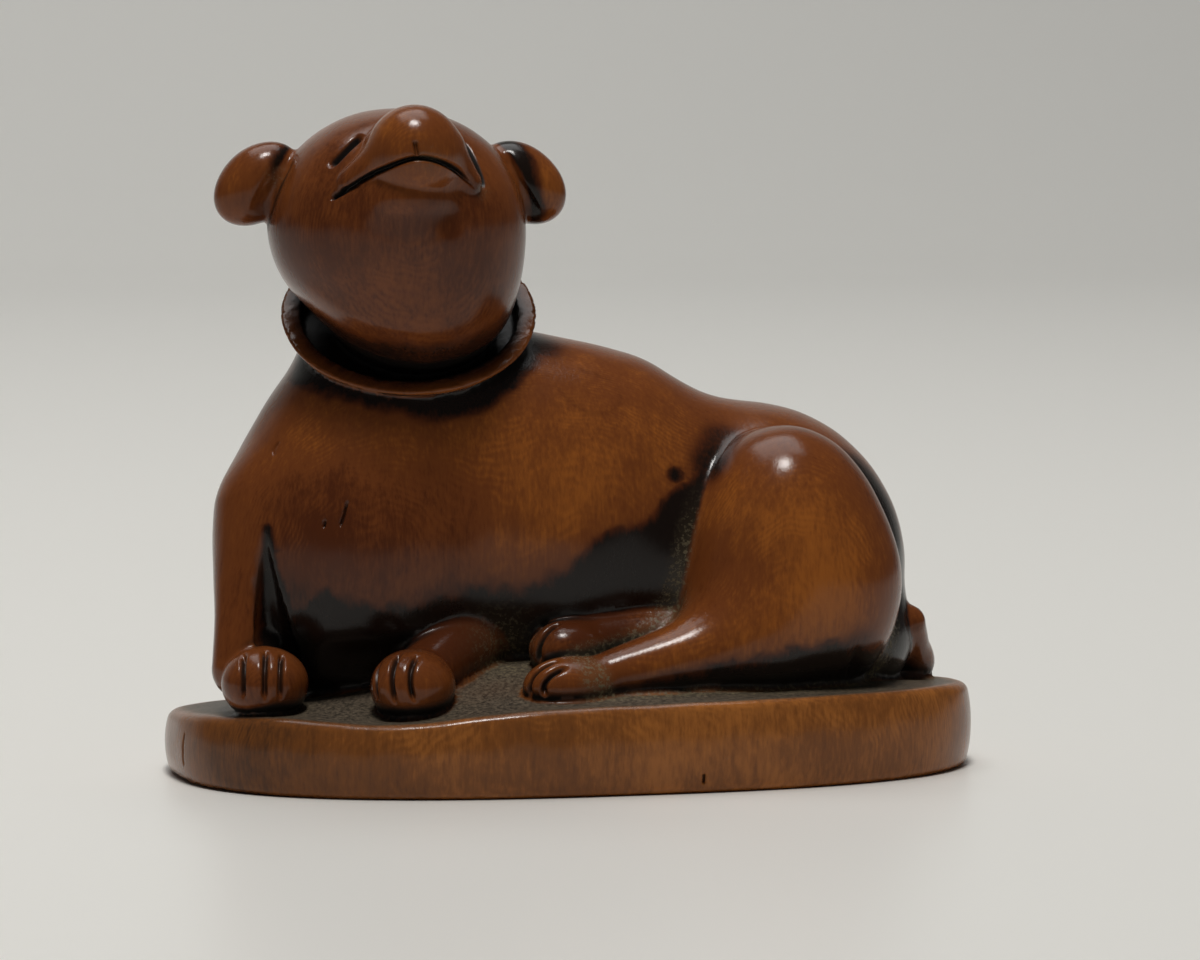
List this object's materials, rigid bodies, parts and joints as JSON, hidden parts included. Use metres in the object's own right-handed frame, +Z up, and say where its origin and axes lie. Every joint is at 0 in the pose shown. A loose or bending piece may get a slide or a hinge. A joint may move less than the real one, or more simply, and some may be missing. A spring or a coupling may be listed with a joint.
{
  "type": "netsuke",
  "caption": "Carved wooden toggle: a collared dog lies on an oval plinth with its head thrown back, and a cord passage opens underneath.",
  "frame": {"origin": "centre of the plinth's flat underside", "axes": "+Z up, +X along the plinth towards the dog's tail, -Y towards the dog's face and its left side"},
  "size_m": [0.0402, 0.0252, 0.0328],
  "materials": {
    "boxwood": "polished and worn, warm orange brown to dark red brown, near black where dirt and stain lie in the hollows"
  },
  "bodies": {
    "root": {"dog_on_oval_plinth": "boxwood"}
  },
  "joints": []
}
